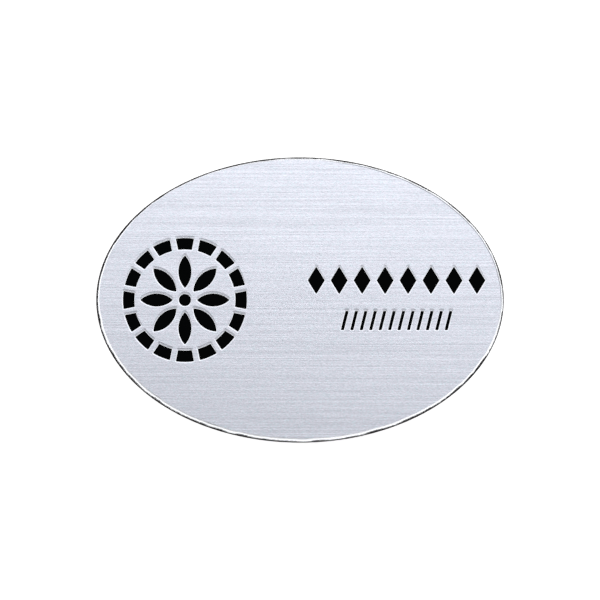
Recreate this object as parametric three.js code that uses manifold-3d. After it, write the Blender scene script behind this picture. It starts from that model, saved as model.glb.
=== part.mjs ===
// Oval name badge, in millimetres, +Z up, lying face up on its pin.
// A thin brushed silver sheet is laminated on a black core plate. The marks are engraved right through
// the sheet with a sloping cut, so the core shows black at the bottom of each one. A one-piece bar pin
// is cemented to the middle of the back. X runs along the badge, +Y is its upper edge when worn, and the
// origin lies on the table under its centre.
import * as THREE from "three";
import { mergeVertices } from "three/addons/utils/BufferGeometryUtils.js";
import Module from "manifold-3d";

const wasm = await Module();
wasm.setup();

// Laminated plate
const badgeWidth = 63.5;
const badgeHeight = 44.45;
const coreThickness = 1.3;
const sheetThickness = 0.3;
const coreRimWidth = 0.17; // black line that the core's bevel leaves round the sheet
const coreRimDepth = 0.17;
const sheetBevelWidth = 0.26;
const sheetBevelDepth = 0.28;
const outlineSteps = 160;
const samePoint = 1e-4; // points closer than this are one

// Engraving cut: a black floor, a steep slope round it, and a shallow dished border round that
const cutterRadius = 0.08; // rounds the corners of each floor
const slopeWidth = 0.12;
const slopeDepth = 0.11;
const borderWidth = 0.33;
const borderDepth = 0.04;
const web = 0.12; // flat silver left between the borders of two marks
const cutPast = 0.02; // how far each cutting body runs past the sheet
const cutCornerSteps = 2;

// Emblem: a hub, petals and a broken ring
const emblemMargin = 4.25; // from the plate's left end to the ring
const emblemRadius = 9.6;
const ringWidth = 1.7;
const ringBlocks = 16;
const ringBlockSteps = 5;
const petals = 8;
const petalSteps = 9;
const hubRadius = 0.9;
const hubSteps = 24;

// Name row of upright lozenges, and title row of slanting strokes under it
const nameMargin = 2.15; // from the plate's right end to the row
const nameGap = 8.75; // from the emblem's ring to the row
const nameLift = 3.05; // row's centre above the badge's centre
const lozengeWidth = 2.55;
const lozengeHeight = 4.2;
const rowGap = 2.7;
const titleInset = 5.75; // how much further in each end of the title row lies
const strokeWidth = 0.42;
const strokeHeight = 2.9;
const strokeSlant = THREE.MathUtils.degToRad(14);

// Bar pin
const barLength = 32;
const barWidth = 5;
const barThickness = 0.7;
const barHoleRadius = 1;
const barHoleInset = 9.5; // from each end of the bar
const wireRadius = 0.45;
const clothGap = 3; // room for cloth between the wire and the bar
const earLength = 3.4;
const earWall = 0.6;
const earInset = 0.7; // from the bar's end to the ears
const earCorner = 0.7;
const barrelRadius = 1.15;
const catchLength = 3;
const catchWidth = 3.4;
const catchWall = 0.6;
const catchInset = 1.6; // from the bar's other end to the catch
const catchCorner = 0.75;
const lipHeight = 2.1;
const wireClearance = 0.15; // between the wire and the floor of the catch
const pointLength = 2.6;
const pointReach = 1.1; // how far the wire's point passes the catch
const bluntRadius = 0.08;
const roundSides = 14; // of the wire and the coil
const cornerSteps = 6;

// Heights
const wireHeight = catchWall + wireClearance + wireRadius;
const barUnderside = wireHeight + wireRadius + clothGap;
const plateBack = barUnderside + barThickness;
const sheetBack = plateBack + coreThickness;
const face = sheetBack + sheetThickness;

// Points round the oval, moved straight inwards by inset
function oval(inset) {
  const a = badgeWidth / 2;
  const b = badgeHeight / 2;
  return Array.from({ length: outlineSteps }, (_, i) => {
    const t = (2 * Math.PI * i) / outlineSteps;
    const outward = new THREE.Vector2(b * Math.cos(t), a * Math.sin(t)).normalize();
    return new THREE.Vector2(a * Math.cos(t), b * Math.sin(t)).addScaledVector(outward, -inset);
  });
}

// A mark is a list of points on the cutter's path, each with the direction that leads out of the mark
const reach = slopeWidth + borderWidth; // from the edge of a floor to the outside of its border
const cutGap = web + 2 * reach; // between the floors of two marks

function direction(angle) {
  return new THREE.Vector2(Math.cos(angle), Math.sin(angle));
}

// A rounded corner: the cutter's path stops at one point, and the direction out of the mark turns there
function corner(path, from, to) {
  return Array.from({ length: cutCornerSteps + 1 }, (_, i) => ({
    path,
    out: direction(from + ((to - from) * i) / cutCornerSteps),
  }));
}

// Points between the two ends of an arc, with side 1 for a mark inside the arc and -1 for one outside it
function arc(x, y, radius, from, to, steps, side = 1) {
  return Array.from({ length: steps - 1 }, (_, i) => {
    const out = direction(from + ((to - from) * (i + 1)) / steps);
    return { path: new THREE.Vector2(x, y).addScaledVector(out, radius), out: out.multiplyScalar(side) };
  });
}

// A mark with straight sides, from its corners taken anticlockwise
function polygon(corners) {
  const facing = corners.map((p, i) => {
    const along = corners[(i + 1) % corners.length].clone().sub(p);
    return Math.atan2(-along.x, along.y);
  });
  return corners.flatMap((p, i) => {
    const to = facing[i];
    const before = facing[(i + corners.length - 1) % corners.length];
    const turn = THREE.MathUtils.euclideanModulo(to - before, 2 * Math.PI);
    const inset = cutterRadius / Math.cos(turn / 2);
    return corner(p.clone().addScaledVector(direction(to - turn / 2), -inset), to - turn, to);
  });
}

function hub() {
  return Array.from({ length: hubSteps }, (_, i) => {
    const out = direction((2 * Math.PI * i) / hubSteps);
    return { path: out.clone().multiplyScalar(hubRadius - cutterRadius), out };
  });
}

// A petal lies along +X between two arcs, as wide as leaves the web to its neighbours
function petal() {
  const inner = hubRadius + cutGap;
  const outer = emblemRadius - ringWidth - cutGap;
  const centre = (inner + outer) / 2;
  const halfLength = (outer - inner) / 2;
  const share = Math.PI / petals;
  const room = centre * Math.sin(share) - cutGap / 2;
  const halfWidth =
    (room + Math.sqrt(room ** 2 - (halfLength * Math.sin(share)) ** 2)) / (1 + Math.cos(share));
  const radius = (halfLength ** 2 + halfWidth ** 2) / (2 * halfWidth);
  const offset = radius - halfWidth;
  const path = radius - cutterRadius;
  const sweep = Math.acos(offset / path);
  const tip = path * Math.sin(sweep);
  const up = Math.PI / 2;
  return [
    ...arc(centre, -offset, path, up - sweep, up + sweep, petalSteps),
    ...corner(new THREE.Vector2(centre - tip, 0), up + sweep, 3 * up - sweep),
    ...arc(centre, offset, path, 3 * up - sweep, 3 * up + sweep, petalSteps),
    ...corner(new THREE.Vector2(centre + tip, 0), 3 * up + sweep, 5 * up - sweep),
  ];
}

// A block of the ring has straight sides, parallel to those of its neighbours
function ringBlock() {
  const share = Math.PI / ringBlocks;
  const outer = emblemRadius - cutterRadius;
  const inner = emblemRadius - ringWidth + cutterRadius;
  const [outerEnd, innerEnd] = [outer, inner].map(
    (radius) => share - Math.asin((cutGap / 2 + cutterRadius) / radius),
  );
  const at = (radius, angle) => direction(angle).multiplyScalar(radius);
  const side = share + Math.PI / 2;
  return [
    ...arc(0, 0, outer, -outerEnd, outerEnd, ringBlockSteps),
    ...corner(at(outer, outerEnd), outerEnd, side),
    ...corner(at(inner, innerEnd), side, innerEnd + Math.PI),
    ...arc(0, 0, inner, innerEnd, -innerEnd, ringBlockSteps, -1),
    ...corner(at(inner, -innerEnd), Math.PI - innerEnd, 2 * Math.PI - side),
    ...corner(at(outer, -outerEnd), 2 * Math.PI - side, 2 * Math.PI - outerEnd),
  ];
}

function lozenge() {
  const [x, y] = [lozengeWidth / 2, lozengeHeight / 2];
  return polygon([[x, 0], [0, y], [-x, 0], [0, -y]].map((p) => new THREE.Vector2(...p)));
}

function stroke() {
  const [x, y] = [strokeWidth / 2, strokeHeight / 2];
  const lean = y * Math.tan(strokeSlant);
  const corners = [[x + lean, y], [-x + lean, y], [-x - lean, -y], [x - lean, -y]];
  return polygon(corners.map((p) => new THREE.Vector2(...p)));
}

// A mark turned about the emblem's middle and moved to its place
function placed(mark, x, y, angle = 0) {
  const origin = new THREE.Vector2(0, 0);
  return mark.map(({ path, out }) => ({
    path: path.clone().rotateAround(origin, angle).add(new THREE.Vector2(x, y)),
    out: out.clone().rotateAround(origin, angle),
  }));
}

// As many copies of a mark as fit between two ends, centred
function row(mark, from, to, y, width, gap) {
  const count = Math.floor((to - from + gap) / (width + gap));
  const start = (from + to) / 2 - ((count - 1) * (width + gap)) / 2;
  return Array.from({ length: count }, (_, i) => placed(mark, start + i * (width + gap), y));
}

function allMarks() {
  const emblemX = -badgeWidth / 2 + emblemMargin + emblemRadius;
  const around = (mark, count) =>
    Array.from({ length: count }, (_, i) => placed(mark, emblemX, 0, (2 * Math.PI * i) / count));
  const rowFrom = emblemX + emblemRadius + nameGap;
  const rowTo = badgeWidth / 2 - nameMargin;
  const titleY = nameLift - lozengeHeight / 2 - rowGap - strokeHeight / 2;
  const strokeGap = web + (2 * reach) / Math.cos(strokeSlant);
  return [
    placed(hub(), emblemX, 0),
    ...around(petal(), petals),
    ...around(ringBlock(), ringBlocks),
    ...row(lozenge(), rowFrom, rowTo, nameLift, lozengeWidth, cutGap),
    ...row(stroke(), rowFrom + titleInset, rowTo - titleInset, titleY, strokeWidth, strokeGap),
  ];
}

// A closed body lofted through levels from the lowest up, each an outline with as many points as the next
function lofted(levels) {
  const rings = levels.map(({ z, outline }) => outline.map((p) => new THREE.Vector3(p.x, p.y, z)));
  const position = [];
  const triangle = (...corners) => corners.forEach((p) => position.push(p.x, p.y, p.z));
  const ends = THREE.ShapeUtils.triangulateShape(levels[0].outline, []);
  const top = rings[rings.length - 1];
  ends.forEach(([a, b, c]) => {
    triangle(rings[0][a], rings[0][c], rings[0][b]);
    triangle(top[a], top[b], top[c]);
  });
  for (let k = 1; k < rings.length; k++) {
    const low = rings[k - 1];
    const high = rings[k];
    low.forEach((p, i) => {
      const next = (i + 1) % low.length;
      triangle(p, low[next], high[next]);
      triangle(p, high[next], high[i]);
    });
  }
  const geometry = new THREE.BufferGeometry();
  geometry.setAttribute("position", new THREE.Float32BufferAttribute(position, 3));
  return geometry;
}

// A closed three.js geometry as a solid for joins and cuts
function solid(geometry) {
  const bare = geometry.clone();
  bare.deleteAttribute("normal");
  bare.deleteAttribute("uv");
  const merged = mergeVertices(bare, samePoint);
  return new wasm.Manifold(
    new wasm.Mesh({
      numProp: 3,
      vertProperties: merged.attributes.position.array,
      triVerts: new Uint32Array(merged.index.array),
    }),
  );
}

function fromSolid(manifold) {
  const mesh = manifold.getMesh();
  const geometry = new THREE.BufferGeometry();
  geometry.setAttribute("position", new THREE.BufferAttribute(mesh.vertProperties, 3));
  geometry.setIndex(new THREE.BufferAttribute(mesh.triVerts, 1));
  geometry.computeVertexNormals();
  return geometry;
}

// The core's back corner is square, and its front corner is bevelled down to the sheet
function coreGeometry() {
  return fromSolid(
    solid(
      lofted([
        { z: plateBack, outline: oval(0) },
        { z: sheetBack - coreRimDepth, outline: oval(0) },
        { z: sheetBack, outline: oval(coreRimWidth) },
      ]),
    ),
  );
}

// Each cut goes straight down through the sheet, and runs clear past both sides of it
function cutSolid(mark) {
  const outline = (grow) =>
    mark.map(({ path, out }) => path.clone().addScaledVector(out, cutterRadius + grow));
  const pastBorder = borderWidth * (cutPast / borderDepth);
  return solid(
    lofted([
      { z: sheetBack - cutPast, outline: outline(0) },
      { z: face - borderDepth - slopeDepth, outline: outline(0) },
      { z: face - borderDepth, outline: outline(slopeWidth) },
      { z: face + cutPast, outline: outline(reach + pastBorder) },
    ]),
  );
}

function sheetGeometry() {
  const sheet = lofted([
    { z: sheetBack, outline: oval(coreRimWidth) },
    { z: face - sheetBevelDepth, outline: oval(coreRimWidth) },
    { z: face, outline: oval(coreRimWidth + sheetBevelWidth) },
  ]);
  return fromSolid(allMarks().map(cutSolid).reduce((left, cut) => left.subtract(cut), solid(sheet)));
}

function extruded(shape, depth) {
  return new THREE.ExtrudeGeometry(shape, { depth, bevelEnabled: false, curveSegments: cornerSteps });
}

// The bar has round ends and two holes
function barSolid() {
  const half = barLength / 2 - barWidth / 2;
  const shape = new THREE.Shape();
  shape.absarc(half, 0, barWidth / 2, -Math.PI / 2, Math.PI / 2, false);
  shape.absarc(-half, 0, barWidth / 2, Math.PI / 2, (3 * Math.PI) / 2, false);
  for (const side of [-1, 1]) {
    const hole = new THREE.Path();
    hole.absarc(side * (barLength / 2 - barHoleInset), 0, barHoleRadius, 0, 2 * Math.PI, true);
    shape.holes.push(hole);
  }
  return solid(extruded(shape, barThickness).translate(0, 0, barUnderside));
}

// A folded ear: its foot is flat, with round corners, and it runs up through the bar
const earX = -barLength / 2 + earInset + earLength / 2;
function earSolid(side) {
  const x = earLength / 2;
  const r = earCorner;
  const shape = new THREE.Shape();
  shape.moveTo(x, plateBack);
  shape.lineTo(-x, plateBack);
  shape.lineTo(-x, r);
  shape.absarc(-x + r, r, r, Math.PI, (3 * Math.PI) / 2, false);
  shape.absarc(x - r, r, r, -Math.PI / 2, 0, false);
  const upright = new THREE.Matrix4().makeBasis(
    new THREE.Vector3(1, 0, 0),
    new THREE.Vector3(0, 0, 1),
    new THREE.Vector3(0, -1, 0),
  );
  const y = side > 0 ? barWidth / 2 : -barWidth / 2 + earWall;
  return solid(extruded(shape, earWall).applyMatrix4(upright).translate(earX, y, 0));
}

// The wire's coil, as a barrel between the ears, with the wire leaving its lower side
function barrelSolid() {
  const barrel = new THREE.CylinderGeometry(barrelRadius, barrelRadius, barWidth - earWall, roundSides);
  return solid(barrel.translate(earX, 0, wireHeight - wireRadius + barrelRadius));
}

const catchX = barLength / 2 - catchInset - catchLength / 2;
function wireSolid() {
  const length = catchX + catchLength / 2 + pointReach - earX;
  const profile = [
    new THREE.Vector2(0, 0),
    new THREE.Vector2(wireRadius, 0),
    new THREE.Vector2(wireRadius, length - pointLength),
    new THREE.Vector2(bluntRadius, length),
    new THREE.Vector2(0, length),
  ];
  const wire = new THREE.LatheGeometry(profile, roundSides);
  return solid(wire.rotateZ(-Math.PI / 2).translate(earX, 0, wireHeight));
}

// The catch is a strip bent to a J round the wire, with a flat foot and an open side
function catchSolid() {
  const y = catchWidth / 2;
  const outer = catchCorner;
  const inner = catchCorner - catchWall;
  const right = Math.PI / 2;
  const shape = new THREE.Shape();
  shape.moveTo(-y, plateBack);
  shape.lineTo(-y, outer);
  shape.absarc(-y + outer, outer, outer, 2 * right, 3 * right, false);
  shape.absarc(y - outer, outer, outer, -right, 0, false);
  shape.lineTo(y, lipHeight);
  shape.lineTo(y - catchWall, lipHeight);
  shape.lineTo(y - catchWall, outer);
  shape.absarc(y - outer, outer, inner, 0, -right, true);
  shape.absarc(-y + outer, outer, inner, -right, -2 * right, true);
  shape.lineTo(-y + catchWall, plateBack);
  const across = new THREE.Matrix4().makeBasis(
    new THREE.Vector3(0, 1, 0),
    new THREE.Vector3(0, 0, 1),
    new THREE.Vector3(1, 0, 0),
  );
  return solid(extruded(shape, catchLength).applyMatrix4(across).translate(catchX - catchLength / 2, 0, 0));
}

function pinGeometry() {
  const pieces = [earSolid(-1), earSolid(1), barrelSolid(), wireSolid(), catchSolid()];
  return fromSolid(pieces.reduce((whole, piece) => whole.add(piece), barSolid()));
}

function part(name, geometry, material) {
  const mesh = new THREE.Mesh(geometry, new THREE.MeshStandardMaterial(material));
  mesh.name = name;
  return mesh;
}

const badge = new THREE.Group();
badge.add(
  part("face_sheet", sheetGeometry(), { color: 0xdfe3ee, roughness: 0.35, metalness: 1 }),
  part("core_plate", coreGeometry(), { color: 0x08090a, roughness: 0.6, metalness: 0 }),
  part("pin_back", pinGeometry(), { color: 0xc9c8c4, roughness: 0.25, metalness: 1 }),
);

export default badge;
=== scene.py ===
import math

import bpy
from mathutils import Matrix, Vector, noise
from mathutils.geometry import delaunay_2d_cdt


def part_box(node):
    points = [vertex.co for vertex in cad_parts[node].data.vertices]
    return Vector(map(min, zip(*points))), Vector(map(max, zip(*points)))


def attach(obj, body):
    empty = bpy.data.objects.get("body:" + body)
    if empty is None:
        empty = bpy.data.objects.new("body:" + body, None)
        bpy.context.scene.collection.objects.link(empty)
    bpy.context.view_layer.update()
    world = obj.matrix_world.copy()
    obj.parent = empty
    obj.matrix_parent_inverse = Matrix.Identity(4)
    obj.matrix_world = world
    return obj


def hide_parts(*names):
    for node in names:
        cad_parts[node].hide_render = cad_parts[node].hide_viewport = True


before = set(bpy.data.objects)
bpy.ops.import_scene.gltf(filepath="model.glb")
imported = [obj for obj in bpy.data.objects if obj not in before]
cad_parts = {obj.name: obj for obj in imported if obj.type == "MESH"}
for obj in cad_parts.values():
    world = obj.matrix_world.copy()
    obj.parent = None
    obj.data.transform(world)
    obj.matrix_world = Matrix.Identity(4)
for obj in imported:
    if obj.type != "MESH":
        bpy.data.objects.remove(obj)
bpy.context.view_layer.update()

# The table, the light and the camera
# The badge lies face up on a pale, faintly glowing table top inside a light tent. Overhead the tent is
# bright towards the badge's upper edge and dim towards its lower edge. Its walls are bright all round.
MM = 0.001
PHOTO_WIDTH = 600  # pixels
BADGE_WIDTH_IN_PHOTO = 408
LENS = 100  # millimetres, on a sensor 36 mm wide
SENSOR = 36
TABLE_RADIUS = 3.0
TABLE_STEPS = 96
TABLE_WHITE = 0.95
TABLE_ROUGHNESS = 0.9
TABLE_GLOW = 0.5
WHITE = (1, 1, 1, 1)
TENT_DIM = 0.13
TENT_BRIGHT = 1.96
TENT_FROM = -0.42  # the tent's light rises over this range of a direction's Y
TENT_TO = 0.36
TENT_RIGHT = 0.45  # extra light for each unit of a direction's X
TENT_WALLS_LIGHT = 1.2
TENT_WALLS_FROM = 0.86  # the walls begin as a direction's Z falls over this range
TENT_WALLS_TO = 0.6
BACKDROP = 1.0  # the tent's wall, seen past the table


def plug(tree, node, sockets):
    """Links each named socket of a node to another node's output, or sets it to a constant."""
    for socket, value in sockets.items():
        if isinstance(value, bpy.types.NodeSocket):
            tree.links.new(value, node.inputs[socket])
        else:
            node.inputs[socket].default_value = value


def add_node(tree, kind, sockets=None, **settings):
    made = tree.nodes.new(kind)
    for name, value in settings.items():
        setattr(made, name, value)
    plug(tree, made, sockets or {})
    return made


def math_node(tree, operation, first, second):
    return add_node(tree, "ShaderNodeMath", {0: first, 1: second}, operation=operation).outputs[0]


def light_tent():
    world = bpy.data.worlds.new("light_tent")
    bpy.context.scene.world = world
    world.use_nodes = True
    tree = world.node_tree
    tree.nodes.clear()
    towards = add_node(tree, "ShaderNodeTexCoord").outputs["Generated"]
    split = add_node(tree, "ShaderNodeSeparateXYZ", {"Vector": towards})
    rise = add_node(
        tree,
        "ShaderNodeMapRange",
        {
            "Value": split.outputs["Y"],
            "From Min": TENT_FROM,
            "From Max": TENT_TO,
            "To Min": TENT_DIM,
            "To Max": TENT_BRIGHT,
        },
        interpolation_type="SMOOTHSTEP",
    ).outputs["Result"]
    right = math_node(tree, "MULTIPLY", split.outputs["X"], TENT_RIGHT)
    overhead = math_node(tree, "ADD", rise, right)
    low = add_node(
        tree,
        "ShaderNodeMapRange",
        {"Value": split.outputs["Z"], "From Min": TENT_WALLS_FROM, "From Max": TENT_WALLS_TO},
        interpolation_type="SMOOTHSTEP",
    ).outputs["Result"]
    strength = add_node(
        tree, "ShaderNodeMix", {"Factor": low, "A": overhead, "B": TENT_WALLS_LIGHT}, data_type="FLOAT"
    ).outputs["Result"]
    seen = add_node(tree, "ShaderNodeLightPath").outputs["Is Camera Ray"]
    shown = add_node(
        tree, "ShaderNodeMix", {"Factor": seen, "A": strength, "B": BACKDROP}, data_type="FLOAT"
    ).outputs["Result"]
    light = add_node(tree, "ShaderNodeBackground", {"Color": WHITE, "Strength": shown})
    add_node(tree, "ShaderNodeOutputWorld", {"Surface": light.outputs[0]})


def table_top():
    ring = [
        (
            TABLE_RADIUS * math.cos(math.tau * i / TABLE_STEPS),
            TABLE_RADIUS * math.sin(math.tau * i / TABLE_STEPS),
            0.0,
        )
        for i in range(TABLE_STEPS)
    ]
    mesh = bpy.data.meshes.new("table_top")
    mesh.from_pydata(ring, [], [range(TABLE_STEPS)])
    material = bpy.data.materials.new("pale_table")
    material.use_nodes = True
    tree = material.node_tree
    board = tree.nodes["Principled BSDF"]
    plug(
        tree,
        board,
        {
            "Base Color": (TABLE_WHITE, TABLE_WHITE, TABLE_WHITE, 1),
            "Roughness": TABLE_ROUGHNESS,
            "Emission Color": WHITE,
            "Emission Strength": TABLE_GLOW,
        },
    )
    clear = add_node(tree, "ShaderNodeBsdfTransparent")
    below = add_node(tree, "ShaderNodeNewGeometry").outputs["Backfacing"]
    mix = add_node(tree, "ShaderNodeMixShader", {0: below, 1: board.outputs[0], 2: clear.outputs[0]})
    plug(tree, tree.nodes["Material Output"], {"Surface": mix.outputs[0]})
    mesh.materials.append(material)
    table = bpy.data.objects.new("table_top", mesh)
    bpy.context.scene.collection.objects.link(table)


def overhead_camera():
    low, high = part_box("core_plate")
    seen_width = (high.x - low.x) * PHOTO_WIDTH / BADGE_WIDTH_IN_PHOTO
    data = bpy.data.cameras.new("camera")
    data.lens = LENS
    data.sensor_width = SENSOR
    camera = bpy.data.objects.new("camera", data)
    camera.location = (0, 0, high.z + seen_width * LENS / SENSOR)
    bpy.context.scene.collection.objects.link(camera)
    bpy.context.scene.camera = camera


light_tent()
table_top()
overhead_camera()
bpy.context.scene.view_settings.view_transform = "Standard"

# The black core plate
# A solid black plastic plate, routed to an oval with a bevelled front corner. The bevel shows round the
# silver as a thin, slightly uneven black line. Its matt front shows at the bottom of each engraved mark.
RIM_STEPS = 1440
BLACK_LINE = 0.168 * MM  # width of the bevel, seen from the front
BLACK_LINE_WIDE = 0.246 * MM  # on the side where the cutter ran deeper
DEEP_SIDE = math.radians(236)
DEEP_FROM, DEEP_TO = -0.3, -0.02  # the line widens between these cosines of the turn from that side
LONG_WAVER, SHORT_WAVER = 0.25, 0.09  # of the line's width, each way, as shares of it
BLACK_BEVEL_DEPTH = 0.17 * MM
ROUTED_WAVER = 0.004 * MM
LONG_WAVES, SHORT_WAVES, ROUTED_WAVES = 14, 90, 60  # of the unevenness, round the rim
WAVER_REACH = 0.71  # noise that counts as its full height
BACK_CORNER = 0.06 * MM
BACK_CORNER_MIDDLE = 0.018 * MM  # inset and height of the middle of its rounding
PLASTIC_BLACKS = ((0.008, 0.008, 0.009), (0.014, 0.014, 0.016))  # the darkest and the lightest
PLASTIC_ROUGHNESS = (0.42, 0.58)
PEBBLE_DEPTH = 0.02 * MM
ROUTED_BLACKS = ((0.004, 0.0025, 0.003), (0.011, 0.009, 0.0095))
ROUTED_ROUGHNESS = (0.5, 0.65)
ROUTED_SHEEN = 0.15
ROUTED_DEPTH = 0.02 * MM
ENGRAVED_BLACKS = ((0.0006, 0.0008, 0.001), (0.0014, 0.0017, 0.0019))
ENGRAVED_ROUGHNESS = 0.85
ENGRAVED_SHEEN = 0.01
ENGRAVED_DEPTH = 0.004 * MM
MOST_GRAIN = (0.3, 0.7)  # most of a grain's values lie in this range
MIDDLE_GRAIN = (0.35, 0.65)  # and fewer in this one
MIX_FIRST, MIX_SECOND, MIXED = 6, 7, 2  # numbers of a Mix node's sockets for colours
PLATE_LOW, PLATE_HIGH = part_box("core_plate")


def ramp(value, low, high):
    """0 up to low, 1 from high on, and even between them."""
    return min(1.0, max(0.0, (value - low) / (high - low)))


def waver(turn, waves, seed):
    """An uneven line round the rim, from -1 to 1, with about so many waves on each side."""
    value = noise.noise(Vector((waves * math.cos(turn), waves * math.sin(turn), seed)))
    return min(1.0, max(-1.0, value / WAVER_REACH))


def black_line(turn):
    deep = ramp(math.cos(turn - DEEP_SIDE), DEEP_FROM, DEEP_TO)
    width = BLACK_LINE + (BLACK_LINE_WIDE - BLACK_LINE) * deep
    long_waves = LONG_WAVER * waver(turn, LONG_WAVES, seed=15.5)
    short_waves = SHORT_WAVER * waver(turn, SHORT_WAVES, seed=7.5)
    return width * (1 + long_waves + short_waves)


def routed_edge(turn):
    return ROUTED_WAVER * (1 + waver(turn, ROUTED_WAVES, seed=3.5))


def oval_ring(inset, z):
    """Points round the plate at one height. inset is a length, or a function of the turn."""
    half = Vector((PLATE_HIGH.x, PLATE_HIGH.y))
    ring = []
    for i in range(RIM_STEPS):
        turn = math.tau * i / RIM_STEPS
        outward = Vector((half.y * math.cos(turn), half.x * math.sin(turn))).normalized()
        step = inset(turn) if callable(inset) else inset
        edge = Vector((half.x * math.cos(turn), half.y * math.sin(turn))) - step * outward
        ring.append((edge.x, edge.y, z))
    return ring


class Shell:
    """Collects the rings and faces of one closed mesh, each face with its material and shading."""

    def __init__(self):
        self.points = []
        self.faces = []
        self.finishes = []
        self.smooth = []

    def ring(self, points):
        first = len(self.points)
        self.points.extend(points)
        return list(range(first, len(self.points)))

    def face(self, corners, finish=0, smooth=False):
        self.faces.append(corners)
        self.finishes.append(finish)
        self.smooth.append(smooth)

    def band(self, low, high, finish=0, smooth=True):
        """Joins two rings that run anticlockwise round the solid, the lower one first."""
        for i, corner in enumerate(low):
            following = (i + 1) % len(low)
            self.face((corner, low[following], high[following], high[i]), finish, smooth)

    def made(self, name, materials):
        mesh = bpy.data.meshes.new(name)
        mesh.from_pydata(self.points, [], self.faces)
        for material in materials:
            mesh.materials.append(material)
        mesh.polygons.foreach_set("material_index", self.finishes)
        mesh.polygons.foreach_set("use_smooth", self.smooth)
        mesh.update()
        piece = bpy.data.objects.new(name, mesh)
        bpy.context.scene.collection.objects.link(piece)
        return piece


def new_group(name, inputs, outputs):
    """A node group with number sockets: inputs is {name: default}, outputs a list of names."""
    group = bpy.data.node_groups.new(name, "ShaderNodeTree")
    for socket, value in inputs.items():
        made = group.interface.new_socket(socket, in_out="INPUT", socket_type="NodeSocketFloat")
        made.default_value = value
    for socket in outputs:
        group.interface.new_socket(socket, in_out="OUTPUT", socket_type="NodeSocketFloat")
    given = add_node(group, "NodeGroupInput").outputs
    return group, given, add_node(group, "NodeGroupOutput")


def grain_group():
    """Grain of a chosen size in millimetres along X, Y and Z, from 0 to 1."""
    group, given, out = new_group(
        "grain", {"Along X": 1.0, "Along Y": 1.0, "Along Z": 1.0, "Detail": 2.0, "Seed": 0.0}, ["Grain"]
    )
    place = add_node(group, "ShaderNodeTexCoord").outputs["Object"]
    size = add_node(
        group, "ShaderNodeCombineXYZ", {0: given["Along X"], 1: given["Along Y"], 2: given["Along Z"]}
    )
    metres = add_node(
        group, "ShaderNodeVectorMath", {0: size.outputs[0], "Scale": MM}, operation="SCALE"
    )
    counted = add_node(
        group, "ShaderNodeVectorMath", {0: place, 1: metres.outputs[0]}, operation="DIVIDE"
    )
    cloud = add_node(
        group,
        "ShaderNodeTexNoise",
        {"Vector": counted.outputs[0], "W": given["Seed"], "Scale": 1.0, "Detail": given["Detail"]},
        noise_dimensions="4D",
    )
    plug(group, out, {"Grain": cloud.outputs[0]})
    return group


GRAIN = grain_group()


def grain(tree, x, y, z, detail, seed):
    sizes = {"Along X": x, "Along Y": y, "Along Z": z}
    return add_node(
        tree, "ShaderNodeGroup", {**sizes, "Detail": detail, "Seed": seed}, node_tree=GRAIN
    ).outputs["Grain"]


def spread(tree, value, low, high, to_low=0.0, to_high=1.0):
    """value, taken from the range low to high to another range, and held there."""
    return add_node(
        tree,
        "ShaderNodeMapRange",
        {"Value": value, "From Min": low, "From Max": high, "To Min": to_low, "To Max": to_high},
    ).outputs["Result"]


def mixed(tree, factor, first, second, blend_type="MIX"):
    return add_node(
        tree,
        "ShaderNodeMix",
        {"Factor": factor, MIX_FIRST: first, MIX_SECOND: second},
        data_type="RGBA",
        blend_type=blend_type,
    ).outputs[MIXED]


def tint(tree, factor, dark, light):
    return mixed(tree, factor, (*dark, 1), (*light, 1))


def together(tree, *shares):
    """The sum of several values, each times its share."""
    total = 0.0
    for value, share in shares:
        total = add_node(
            tree, "ShaderNodeMath", {0: value, 1: share, 2: total}, operation="MULTIPLY_ADD"
        ).outputs[0]
    return total


def bump(tree, height, depth):
    return add_node(
        tree, "ShaderNodeBump", {"Height": height, "Distance": depth, "Strength": 1.0}
    ).outputs["Normal"]


def new_material(name):
    material = bpy.data.materials.new(name)
    material.use_nodes = True
    return material, material.node_tree


def finished(material, sockets):
    """The material, once the sockets of its shader are linked or set."""
    plug(material.node_tree, material.node_tree.nodes["Principled BSDF"], sockets)
    return material


def black_plastic():
    material, tree = new_material("black_plastic")
    pebble = grain(tree, 0.22, 0.22, 0.22, detail=3, seed=2)
    sweat = grain(tree, 9, 9, 9, detail=3, seed=5)
    return finished(
        material,
        {
            "Base Color": tint(tree, spread(tree, pebble, *MOST_GRAIN), *PLASTIC_BLACKS),
            "Roughness": spread(tree, sweat, *MOST_GRAIN, *PLASTIC_ROUGHNESS),
            "Normal": bump(tree, pebble, PEBBLE_DEPTH),
        },
    )


def routed_black():
    material, tree = new_material("routed_black")
    chatter = grain(tree, 0.3, 0.3, 0.6, detail=2, seed=9)
    return finished(
        material,
        {
            "Base Color": tint(tree, spread(tree, chatter, *MIDDLE_GRAIN), *ROUTED_BLACKS),
            "Roughness": spread(tree, chatter, *MOST_GRAIN, *ROUTED_ROUGHNESS),
            "Specular IOR Level": ROUTED_SHEEN,
            "Normal": bump(tree, chatter, ROUTED_DEPTH),
        },
    )


def engraved_black():
    material, tree = new_material("engraved_black")
    passes = grain(tree, 2.5, 0.06, 1, detail=1, seed=8)
    return finished(
        material,
        {
            "Base Color": tint(tree, passes, *ENGRAVED_BLACKS),
            "Roughness": ENGRAVED_ROUGHNESS,
            "Specular IOR Level": ENGRAVED_SHEEN,
            "Normal": bump(tree, passes, ENGRAVED_DEPTH),
        },
    )


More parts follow.
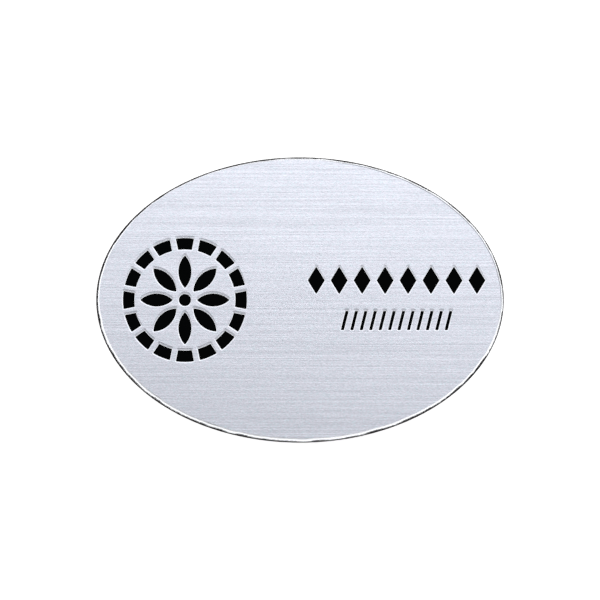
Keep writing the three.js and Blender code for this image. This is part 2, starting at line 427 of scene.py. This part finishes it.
def core_plate():
    back, front = PLATE_LOW.z, PLATE_HIGH.z
    shell = Shell()
    plastic, engraved, routed = 0, 1, 2
    outlines = [
        (BACK_CORNER, back),
        (BACK_CORNER_MIDDLE, back + BACK_CORNER_MIDDLE),
        (routed_edge, back + BACK_CORNER),
        (routed_edge, front - BLACK_BEVEL_DEPTH),
        (black_line, front),
    ]
    rings = [shell.ring(oval_ring(inset, z)) for inset, z in outlines]
    shell.face(rings[0][::-1], plastic)
    for low, high, finish in zip(rings, rings[1:], (plastic, plastic, routed, routed)):
        shell.band(low, high, finish, smooth=finish == plastic)
    shell.face(rings[-1], engraved)
    plate = shell.made("black_plate", [black_plastic(), engraved_black(), routed_black()])
    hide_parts("core_plate")
    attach(plate, "root")


core_plate()

# The silver face sheet
# Aluminium sheet with a satin brushed along the badge, laminated on the core. Its rim is cut to a bright
# bevel, whose inner facets carry painted shade, dark grey towards the upper right and top. Marks are cut
# through it, with a bright slope and a dished border.
SHEET_LOW, SHEET_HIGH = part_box("face_sheet")
BEVEL_WIDTH = 0.362 * MM
BEVEL_WIDENING = 0.16 * MM  # where the cutter ran deeper
BEVEL_NARROWING = 0.21 * MM  # where it ran shallower
NARROW_SIDE = math.radians(138)
BEVEL_WAVER = 0.03 * MM
OUTER_FACET = ((0.53, 0.72), (0.57, 0.75))  # shares of the bevel's width and height
INNER_FACET = ((0.97, 0.985), (1.0, 1.0))
BEVEL_SHADE_SIDES = (  # painted shade on the bevel's inner facets: side, cosines of the turn from it where it begins and is full, and how dark it gets
    (math.radians(38), 0.57, 0.8, 1.0),
    (math.radians(108), 0.72, 0.95, 0.5),
)
SILVERS = ((0.455, 0.475, 0.53), (0.785, 0.815, 0.895))  # the darkest and the lightest brushed line
SILVER_HUES = ((0.915, 1.01, 1.0), (1.022, 0.99, 1.005))  # of its specks, greenish and reddish
SILVER_ROUGHNESS = 0.25
SMUDGE_ROUGHNESS = 0.1  # more where it is smudged, and as much less on its lightest lines
BRUSHING_DEPTH = 0.018 * MM
BRUSHING_RANGE = (0.25, 0.75)
SPECK_RANGE = (0.28, 0.52)
BRUSHED_STRETCH = 0.6  # of its reflections
QUARTER_TURN = 0.25  # of those reflections, from along the brushing to across it
BRIGHT_METALS = ((0.88, 0.9, 0.95), (0.97, 0.985, 1.0))
BEVEL_SHADE_METALS = ((0.93, 0.94, 0.98), (0.27, 0.28, 0.32))  # the unshaded bevel and its painted shade
BURR_RANGE = (0.2, 0.6)
BURR_SHARE = (0.85, 1.0)  # of the full painted shade, varied by the burr grain
CUT_ROUGHNESS = (0.16, 0.26)
CUT_DEPTH = 0.004 * MM  # of the cutter's chatter
TRIANGLES_INSIDE = 1  # the kind of result asked of delaunay_2d_cdt
SAME_POINT = 1e-7  # points closer than this, in millimetres, are one
CUTTER = 0.08 * MM  # radius that rounds the corners of each mark's floor
SLOPE = ((0.0, 0.15 * MM), (0.04 * MM, 0.1 * MM), (0.1 * MM, 0.027 * MM))  # reach out of it, and depth
BORDER = (  # reach out of the slope along a mark's upper side, and depth
    (0.08 * MM, 0.0242 * MM),
    (0.17 * MM, 0.021 * MM),
    (0.26 * MM, 0.0098 * MM),
    (0.35 * MM, 0.0),
)
BORDER_ELSEWHERE = 0.25  # share of that reach along its other sides
UPPER_FROM, UPPER_TO = 0.3, 0.9  # Y of the direction out of a mark, from its other sides to its upper one
WEB = 0.12 * MM
CUT_GAP = WEB + 2 * (SLOPE[-1][0] + BORDER[-1][0])
CORNER_STEPS = 6
EMBLEM_MARGIN = 4.25 * MM
EMBLEM_RADIUS = 9.6 * MM
RING_WIDTH = 1.7 * MM
RING_BLOCKS = 16
PETALS = 8
HUB_RADIUS = 0.9 * MM
ARC_STEPS = 24
NAME_MARGIN = 2.15 * MM
NAME_GAP = 8.75 * MM
NAME_LIFT = 3.05 * MM
LOZENGE = Vector((2.55 * MM, 4.2 * MM))
ROW_GAP = 2.7 * MM
TITLE_INSET = 5.75 * MM
STROKE = Vector((0.42 * MM, 2.9 * MM))
STROKE_SLANT = math.radians(14)


def facing(angle):
    return Vector((math.cos(angle), math.sin(angle)))


def corner(path, start, end):
    """A rounded corner: the cutter stops at path while the direction out of the mark turns."""
    return [(path, facing(start + (end - start) * i / CORNER_STEPS)) for i in range(CORNER_STEPS + 1)]


def arc(x, radius, y, start, end, side=1):
    """Cutter path between the ends of an arc, for a mark inside the arc, or outside it with side -1."""
    turns = [facing(start + (end - start) * i / ARC_STEPS) for i in range(1, ARC_STEPS)]
    return [(Vector((x, y)) + radius * turn, side * turn) for turn in turns]


def polygon(corners):
    sides = []
    for i, point in enumerate(corners):
        along = corners[(i + 1) % len(corners)] - point
        sides.append(math.atan2(-along.x, along.y))
    mark = []
    for i, point in enumerate(corners):
        turn = (sides[i] - sides[i - 1]) % math.tau
        inset = CUTTER / math.cos(turn / 2)
        mark += corner(point - inset * facing(sides[i] - turn / 2), sides[i] - turn, sides[i])
    return mark


def hub():
    turns = [facing(math.tau * i / (2 * ARC_STEPS)) for i in range(2 * ARC_STEPS)]
    return [((HUB_RADIUS - CUTTER) * turn, turn) for turn in turns]


def petal():
    """A petal along +X between two arcs, as wide as leaves the web to its neighbours."""
    inner = HUB_RADIUS + CUT_GAP
    outer = EMBLEM_RADIUS - RING_WIDTH - CUT_GAP
    centre = (inner + outer) / 2
    half_length = (outer - inner) / 2
    share = math.pi / PETALS
    room = centre * math.sin(share) - CUT_GAP / 2
    spare = math.sqrt(room**2 - (half_length * math.sin(share)) ** 2)
    half_width = (room + spare) / (1 + math.cos(share))
    radius = (half_length**2 + half_width**2) / (2 * half_width)
    offset = radius - half_width
    path = radius - CUTTER
    sweep = math.acos(offset / path)
    tip = path * math.sin(sweep)
    up, down = math.pi / 2, 3 * math.pi / 2
    return [
        *arc(centre, path, -offset, up - sweep, up + sweep),
        *corner(Vector((centre - tip, 0)), up + sweep, down - sweep),
        *arc(centre, path, offset, down - sweep, down + sweep),
        *corner(Vector((centre + tip, 0)), down + sweep, math.tau + up - sweep),
    ]


def ring_block():
    """A block of the ring, with straight sides parallel to those of its neighbours."""
    share = math.pi / RING_BLOCKS
    outer = EMBLEM_RADIUS - CUTTER
    inner = EMBLEM_RADIUS - RING_WIDTH + CUTTER
    outer_end, inner_end = (share - math.asin((CUT_GAP / 2 + CUTTER) / r) for r in (outer, inner))
    side = share + math.pi / 2
    return [
        *arc(0, outer, 0, -outer_end, outer_end),
        *corner(outer * facing(outer_end), outer_end, side),
        *corner(inner * facing(inner_end), side, inner_end + math.pi),
        *arc(0, inner, 0, inner_end, -inner_end, side=-1),
        *corner(inner * facing(-inner_end), math.pi - inner_end, math.tau - side),
        *corner(outer * facing(-outer_end), math.tau - side, math.tau - outer_end),
    ]


def lozenge():
    x, y = LOZENGE / 2
    return polygon([Vector(p) for p in ((x, 0), (0, y), (-x, 0), (0, -y))])


def stroke():
    x, y = STROKE / 2
    lean = y * math.tan(STROKE_SLANT)
    corners = ((x + lean, y), (-x + lean, y), (-x - lean, -y), (x - lean, -y))
    return polygon([Vector(p) for p in corners])


def placed(mark, x, y, angle=0.0):
    turn = Matrix.Rotation(angle, 2)
    return [(turn @ path + Vector((x, y)), turn @ out) for path, out in mark]


def row(mark, start, end, y, width, gap):
    """As many copies of a mark as fit between two ends, centred."""
    count = math.floor((end - start + gap) / (width + gap))
    first = (start + end) / 2 - (count - 1) * (width + gap) / 2
    return [placed(mark, first + i * (width + gap), y) for i in range(count)]


def all_marks():
    emblem_x = PLATE_LOW.x + EMBLEM_MARGIN + EMBLEM_RADIUS
    row_start = emblem_x + EMBLEM_RADIUS + NAME_GAP
    row_end = PLATE_HIGH.x - NAME_MARGIN
    title_y = NAME_LIFT - LOZENGE.y / 2 - ROW_GAP - STROKE.y / 2
    stroke_gap = WEB + (CUT_GAP - WEB) / math.cos(STROKE_SLANT)
    title_ends = (row_start + TITLE_INSET, row_end - TITLE_INSET)
    return [
        placed(hub(), emblem_x, 0),
        *[placed(petal(), emblem_x, 0, math.tau * i / PETALS) for i in range(PETALS)],
        *[placed(ring_block(), emblem_x, 0, math.tau * i / RING_BLOCKS) for i in range(RING_BLOCKS)],
        *row(lozenge(), row_start, row_end, NAME_LIFT, LOZENGE.x, CUT_GAP),
        *row(stroke(), *title_ends, title_y, STROKE.x, stroke_gap),
    ]


def inside(point, ring):
    crossings = 0
    for a, b in zip(ring, ring[1:] + ring[:1]):
        if (a.y > point.y) != (b.y > point.y):
            if point.x < a.x + (point.y - a.y) * (b.x - a.x) / (b.y - a.y):
                crossings += 1
    return crossings % 2 == 1


def flat_with_openings(shell, outer, openings, upwards, finish=0):
    """Fills the flat area between an outer ring and the rings of its openings with triangles."""
    rings = [outer, *openings]
    owner = {corner: k for k, ring in enumerate(rings) for corner in ring}
    corners = list(owner)
    flat = {c: Vector(shell.points[c][:2]) / MM for c in corners}
    place = {c: i for i, c in enumerate(corners)}
    edges = [(place[a], place[b]) for ring in rings for a, b in zip(ring, ring[1:] + ring[:1])]
    found, _, triangles, origin, _, _ = delaunay_2d_cdt(
        [flat[c] for c in corners], edges, [], TRIANGLES_INSIDE, SAME_POINT
    )
    outlines = [[flat[c] for c in ring] for ring in rings]
    for triangle in triangles:
        owned = [corners[origin[i][0]] for i in triangle]
        owners = {owner[c] for c in owned}
        middle = sum((found[i] for i in triangle), Vector((0, 0))) / 3
        if len(owners) == 1 and 0 not in owners and inside(middle, outlines[owners.pop()]):
            continue
        shell.face(owned if upwards else owned[::-1], finish)


def bevel_width(turn):
    wide = max(0.0, math.cos(turn - DEEP_SIDE))
    narrow = max(0.0, math.cos(turn - NARROW_SIDE)) ** 2
    uneven = BEVEL_WAVER * waver(turn, LONG_WAVES, seed=11.5)
    return BEVEL_WIDTH + BEVEL_WIDENING * wide - BEVEL_NARROWING * narrow + uneven


def brushed_silver():
    material, tree = new_material("brushed_silver")
    long_lines = grain(tree, 30, 0.17, 5, detail=1, seed=1)
    lines = grain(tree, 6, 0.14, 5, detail=1, seed=2)
    dashes = grain(tree, 0.28, 0.13, 5, detail=1, seed=3)
    tone = together(tree, (long_lines, 0.36), (lines, 0.18), (dashes, 0.46))
    shade = tint(tree, spread(tree, tone, *BRUSHING_RANGE), *SILVERS)
    specks = grain(tree, 0.24, 0.16, 5, detail=1, seed=12)
    hue = tint(tree, spread(tree, specks, *SPECK_RANGE), *SILVER_HUES)
    smudge = grain(tree, 11, 8, 8, detail=3, seed=4)
    roughness = together(
        tree, (smudge, SMUDGE_ROUGHNESS), (tone, -SMUDGE_ROUGHNESS), (1.0, SILVER_ROUGHNESS)
    )
    tangent = add_node(tree, "ShaderNodeTangent", direction_type="UV_MAP", uv_map="brushing")
    return finished(
        material,
        {
            "Base Color": mixed(tree, 1.0, shade, hue, "MULTIPLY"),
            "Metallic": 1.0,
            "Roughness": roughness,
            "Anisotropic": BRUSHED_STRETCH,
            "Anisotropic Rotation": QUARTER_TURN,
            "Tangent": tangent.outputs[0],
            "Normal": bump(tree, tone, BRUSHING_DEPTH),
        },
    )


def bright_cut():
    material, tree = new_material("bright_cut")
    chatter = grain(tree, 0.35, 0.35, 0.05, detail=1, seed=6)
    return finished(
        material,
        {
            "Base Color": tint(tree, chatter, *BRIGHT_METALS),
            "Metallic": 1.0,
            "Roughness": spread(tree, chatter, *MOST_GRAIN, *CUT_ROUGHNESS),
            "Normal": bump(tree, chatter, CUT_DEPTH),
        },
    )


# Painted shade: this finish colours the bevel's inner facets dark grey towards the upper right and top,
# standing in for the shade they fall in there; elsewhere it is bright cut metal.
def shade_painted_cut():
    material, tree = new_material("shade_painted_cut")
    place = add_node(tree, "ShaderNodeTexCoord").outputs["Object"]
    painted_shade = 0.0
    for side, begins, full, shade_strength in BEVEL_SHADE_SIDES:
        outward = Vector((math.cos(side) / PLATE_HIGH.x, math.sin(side) / PLATE_HIGH.y, 0))
        towards = add_node(
            tree, "ShaderNodeVectorMath", {0: place, 1: outward}, operation="DOT_PRODUCT"
        ).outputs["Value"]
        stretch = spread(tree, towards, begins, full, to_high=shade_strength)
        painted_shade = math_node(tree, "MAXIMUM", painted_shade, stretch)
    burr = grain(tree, 0.6, 0.6, 0.3, detail=2, seed=21)
    shade_mask = math_node(tree, "MULTIPLY", painted_shade, spread(tree, burr, *BURR_RANGE, *BURR_SHARE))
    return finished(
        material,
        {
            "Base Color": tint(tree, shade_mask, *BEVEL_SHADE_METALS),
            "Metallic": 1.0,
            "Roughness": spread(tree, burr, *MOST_GRAIN, *CUT_ROUGHNESS),
            "Normal": bump(tree, burr, CUT_DEPTH),
        },
    )


def border_share(out):
    """How far the border reaches on a side of a mark that faces this way."""
    return BORDER_ELSEWHERE + (1 - BORDER_ELSEWHERE) * ramp(out.y, UPPER_FROM, UPPER_TO)


def bevel_ring(share, z):
    """Points round the bevel, at a share of its width in from the black line."""
    return oval_ring(lambda turn: black_line(turn) + share * bevel_width(turn), z)


def face_sheet():
    back, face = SHEET_LOW.z, SHEET_HIGH.z
    shell = Shell()
    brushed, bright, painted_shade = 0, 1, 2
    rim = [shell.ring(oval_ring(black_line, back))]
    for across, up in OUTER_FACET + INNER_FACET:
        rim.append(shell.ring(bevel_ring(across, back + up * (face - back))))
    # The bevel's inner bands take the painted-shade finish, dark grey towards the upper right and top.
    for k, (low, high) in enumerate(zip(rim, rim[1:])):
        shell.band(low, high, bright if k < len(OUTER_FACET) else painted_shade)
    floors, lips = [], []
    for mark in all_marks():
        levels = [(0.0, 0.0, face - back)]
        levels += [(reach, 0.0, depth) for reach, depth in SLOPE]
        levels += [(SLOPE[-1][0], reach, depth) for reach, depth in BORDER]
        rings = []
        for slope, border, depth in levels:
            outline = [path + (CUTTER + slope + border * border_share(out)) * out for path, out in mark]
            rings.append(shell.ring([(p.x, p.y, face - depth) for p in outline]))
        for k, (low, high) in enumerate(zip(rings, rings[1:])):
            finish = bright if k < len(SLOPE) else brushed
            shell.band(low[::-1], high[::-1], finish, smooth=k > 0)
        floors.append(rings[0])
        lips.append(rings[-1])
    flat_with_openings(shell, rim[-1], lips, upwards=True, finish=brushed)
    flat_with_openings(shell, rim[0], floors, upwards=False, finish=brushed)
    sheet = shell.made("silver_sheet", [brushed_silver(), bright_cut(), shade_painted_cut()])
    brushing = sheet.data.uv_layers.new(name="brushing")
    for loop, uv in zip(sheet.data.loops, brushing.data):
        place = sheet.data.vertices[loop.vertex_index].co
        uv.uv = (place.x / SHEET_HIGH.x, place.y / SHEET_HIGH.x)
    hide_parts("face_sheet")
    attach(sheet, "root")


face_sheet()

# The bar pin
# Nickel-plated steel, cemented to the middle of the back. A stamped bar has two ears and a catch folded
# from it. A rivet through the ears holds the coil of a spring wire, whose point snaps into the catch.
PIN_LOW, PIN_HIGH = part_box("pin_back")
BAR_LENGTH = PIN_HIGH.x - PIN_LOW.x
BAR_WIDTH = PIN_HIGH.y - PIN_LOW.y
BAR_THICKNESS = 0.7 * MM
BAR_EDGE = 0.16 * MM
EDGE_ANGLES = (0, 30, 60, 90)  # degrees through the rounding of an edge
HOLE_RADIUS = 1 * MM
HOLE_INSET = 9.5 * MM
FOLD_WALL = 0.6 * MM  # of the ears and the catch
FOLD_EDGE = 0.09 * MM
FOLD_CORNER = 0.11 * MM
FOLD_ROOT = PIN_HIGH.z - 0.3 * MM  # they run up into the bar to here
EAR_LENGTH = 3.4 * MM
EAR_INSET = 0.7 * MM
EAR_CORNER = 0.7 * MM
EAR_SET_IN = 0.04 * MM  # from the bar's side to the face of the ear
CATCH_LENGTH = 3 * MM
CATCH_WIDTH = 3.4 * MM
CATCH_INSET = 1.6 * MM
CATCH_CORNER = 0.75 * MM
LIP_HEIGHT = 2.1 * MM
LIP_CORNER = 0.16 * MM
WIRE_RADIUS = 0.45 * MM
WIRE_HEIGHT = 1.2 * MM
WIRE_SIDES = 24
COIL_RADIUS = 0.7 * MM
COIL_TURNS = 1.5
COIL_PITCH = 1 * MM
COIL_EASE = 0.1  # turns over which the coil eases into the straight wire
COIL_STEPS = 60
PIVOT = Vector((PIN_LOW.x + EAR_INSET + EAR_LENGTH / 2, 0, WIRE_HEIGHT + COIL_RADIUS))
WIRE_START = (0.0, 0.3 * MM, 1 * MM)  # from the pivot, where the coil has run into the straight wire
POINT_LENGTH = 2.6 * MM
POINT_REACH = 1.1 * MM
POINT_CURVE = (  # shares of its length and of the wire's radius
    (0.0, 1.0),
    (0.25, 0.84),
    (0.5, 0.62),
    (0.75, 0.36),
    (0.92, 0.17),
    (1.0, 0.05),
)
SPACER = (-1.9 * MM, -0.52 * MM)  # it fills the pivot on the other side of the wire
SPACER_RADIUS = 1.1 * MM
SPACER_CORNER = 0.08 * MM
RIVET_HEAD = (  # along the rivet, and radius, in millimetres
    (2.73, 0.14),
    (2.71, 0.36),
    (2.65, 0.55),
    (2.56, 0.68),
    (2.45, 0.72),
    (2.44, 0.25),
)
NICKELS = ((0.56, 0.54, 0.5), (0.72, 0.705, 0.67))  # the darkest and the lightest
NICKEL_ROUGHNESS = (0.34, 0.17)
ROLLED_DEPTH = 0.006 * MM


def bend(x, y, radius, start, end):
    """A corner of a stamping: the centre, radius and directions out of the metal, in degrees."""
    steps = 2 * CORNER_STEPS
    turns = [math.radians(start + (end - start) * i / steps) for i in range(steps + 1)]
    return [(Vector((x, y)), radius, facing(turn)) for turn in turns]


def stamped(shell, outline, holes, thickness, edge, placing):
    """A flat stamping with rounded edges, built flat and then moved to its place."""
    flat = Shell()
    turns = [math.radians(angle) for angle in EDGE_ANGLES]
    levels = [(edge * (1 - math.sin(a)), edge * (1 - math.cos(a))) for a in turns]
    levels += [(inset, thickness - z) for inset, z in levels[::-1]]
    walls = []
    for path in (outline, *holes):
        walls.append(
            [
                flat.ring([(*(centre + (radius - inset) * out), z) for centre, radius, out in path])
                for inset, z in levels
            ]
        )
    for k, wall in enumerate(walls):
        for low, high in zip(wall, wall[1:]):
            if k == 0:
                flat.band(low, high)
            else:
                flat.band(low[::-1], high[::-1])
    tops = [wall[-1] for wall in walls]
    feet = [wall[0] for wall in walls]
    flat_with_openings(flat, tops[0], tops[1:], upwards=True)
    flat_with_openings(flat, feet[0], feet[1:], upwards=False)
    moved = shell.ring([placing @ Vector(point) for point in flat.points])
    for corners, smooth in zip(flat.faces, flat.smooth):
        shell.face([moved[c] for c in corners], smooth=smooth)


def round_bar(shell, path, radii):
    """A round wire or rivet along a path, with a radius for each of its points."""
    rings = []
    side = None
    for i, point in enumerate(path):
        along = (path[min(i + 1, len(path) - 1)] - path[max(i - 1, 0)]).normalized()
        side = along.orthogonal() if side is None else side - side.dot(along) * along
        side.normalize()
        up = along.cross(side)
        turns = [facing(math.tau * k / WIRE_SIDES) for k in range(WIRE_SIDES)]
        rings.append(shell.ring([point + radii[i] * (t.x * side + t.y * up) for t in turns]))
    for low, high in zip(rings, rings[1:]):
        shell.band(low, high)
    shell.face(rings[0][::-1])
    shell.face(rings[-1])


def bar(shell):
    end = BAR_LENGTH / 2 - BAR_WIDTH / 2
    hole_x = BAR_LENGTH / 2 - HOLE_INSET
    outline = bend(end, 0, BAR_WIDTH / 2, -90, 90) + bend(-end, 0, BAR_WIDTH / 2, 90, 270)
    holes = []
    for x in (-hole_x, hole_x):
        turns = [facing(math.tau * i / ARC_STEPS) for i in range(ARC_STEPS)]
        holes.append([(Vector((x, 0)), -HOLE_RADIUS, -turn) for turn in turns])
    placing = Matrix.Translation((0, 0, PIN_HIGH.z - BAR_THICKNESS))
    stamped(shell, outline, holes, BAR_THICKNESS, BAR_EDGE, placing)


def ear(shell, outer_face):
    x = EAR_LENGTH / 2 - EAR_CORNER
    top = EAR_LENGTH / 2 - FOLD_CORNER
    outline = [
        *bend(-x, EAR_CORNER, EAR_CORNER, 180, 270),
        *bend(x, EAR_CORNER, EAR_CORNER, 270, 360),
        *bend(top, FOLD_ROOT - FOLD_CORNER, FOLD_CORNER, 0, 90),
        *bend(-top, FOLD_ROOT - FOLD_CORNER, FOLD_CORNER, 90, 180),
    ]
    placing = Matrix.Translation((PIVOT.x, outer_face, 0)) @ Matrix.Rotation(math.pi / 2, 4, "X")
    stamped(shell, outline, [], FOLD_WALL, FOLD_EDGE, placing)


def catch(shell):
    outer = CATCH_WIDTH / 2 - CATCH_CORNER
    inner = CATCH_CORNER - FOLD_WALL
    lip = CATCH_WIDTH / 2 - LIP_CORNER
    root = -CATCH_WIDTH / 2 + FOLD_CORNER
    outline = [
        *bend(-outer, CATCH_CORNER, CATCH_CORNER, 180, 270),
        *bend(outer, CATCH_CORNER, CATCH_CORNER, 270, 360),
        *bend(lip, LIP_HEIGHT - LIP_CORNER, LIP_CORNER, 0, 90),
        *bend(lip + 2 * LIP_CORNER - FOLD_WALL, LIP_HEIGHT - LIP_CORNER, LIP_CORNER, 90, 180),
        *bend(outer, CATCH_CORNER, -inner, 180, 90),
        *bend(-outer, CATCH_CORNER, -inner, 90, 0),
        *bend(root - 2 * FOLD_CORNER + FOLD_WALL, FOLD_ROOT - FOLD_CORNER, FOLD_CORNER, 0, 90),
        *bend(root, FOLD_ROOT - FOLD_CORNER, FOLD_CORNER, 90, 180),
    ]
    start = BAR_LENGTH / 2 - CATCH_INSET - CATCH_LENGTH
    placing = Matrix(((0, 0, 1, start), (1, 0, 0, 0), (0, 1, 0, 0), (0, 0, 0, 1)))
    stamped(shell, outline, [], CATCH_LENGTH, FOLD_EDGE, placing)


def wire(shell):
    """One spring wire: it winds round the rivet, then runs straight to its point in the catch."""
    path = []
    for i in range(COIL_STEPS):
        left = COIL_TURNS * (1 - i / COIL_STEPS)
        turn = -math.tau * left
        across = COIL_PITCH * (math.hypot(left, COIL_EASE) - COIL_EASE)
        path.append(PIVOT + Vector((COIL_RADIUS * math.sin(turn), across, -COIL_RADIUS * math.cos(turn))))
    radii = [WIRE_RADIUS] * COIL_STEPS
    tip = BAR_LENGTH / 2 - CATCH_INSET + POINT_REACH
    path += [Vector((PIVOT.x + x, 0, WIRE_HEIGHT)) for x in WIRE_START]
    radii += [WIRE_RADIUS] * len(WIRE_START)
    for share, size in POINT_CURVE:
        path.append(Vector((tip - POINT_LENGTH * (1 - share), 0, WIRE_HEIGHT)))
        radii.append(size * WIRE_RADIUS)
    round_bar(shell, path, radii)


def rivet(shell):
    profile = [(-y, r) for y, r in RIVET_HEAD] + list(RIVET_HEAD[::-1])
    round_bar(shell, [PIVOT + Vector((0, y * MM, 0)) for y, _ in profile], [r * MM for _, r in profile])
    low, high = SPACER
    rounded = SPACER_RADIUS - SPACER_CORNER
    profile = [
        (low, rounded),
        (low + SPACER_CORNER, SPACER_RADIUS),
        (high - SPACER_CORNER, SPACER_RADIUS),
        (high, rounded),
    ]
    round_bar(shell, [PIVOT + Vector((0, y, 0)) for y, _ in profile], [r for _, r in profile])


def nickel_plate():
    material, tree = new_material("nickel_plate")
    rolled = grain(tree, 5, 0.12, 0.12, detail=2, seed=14)
    smudge = grain(tree, 3, 3, 3, detail=4, seed=15)
    tone = together(tree, (rolled, 0.4), (smudge, 0.6))
    return finished(
        material,
        {
            "Base Color": tint(tree, spread(tree, tone, *MIDDLE_GRAIN), *NICKELS),
            "Metallic": 1.0,
            "Roughness": spread(tree, tone, *MOST_GRAIN, *NICKEL_ROUGHNESS),
            "Normal": bump(tree, rolled, ROLLED_DEPTH),
        },
    )


def bar_pin():
    shell = Shell()
    bar(shell)
    ear(shell, BAR_WIDTH / 2 - EAR_SET_IN)
    ear(shell, FOLD_WALL - BAR_WIDTH / 2 + EAR_SET_IN)
    catch(shell)
    wire(shell)
    rivet(shell)
    pin = shell.made("bar_pin", [nickel_plate()])
    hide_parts("pin_back")
    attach(pin, "root")


bar_pin()
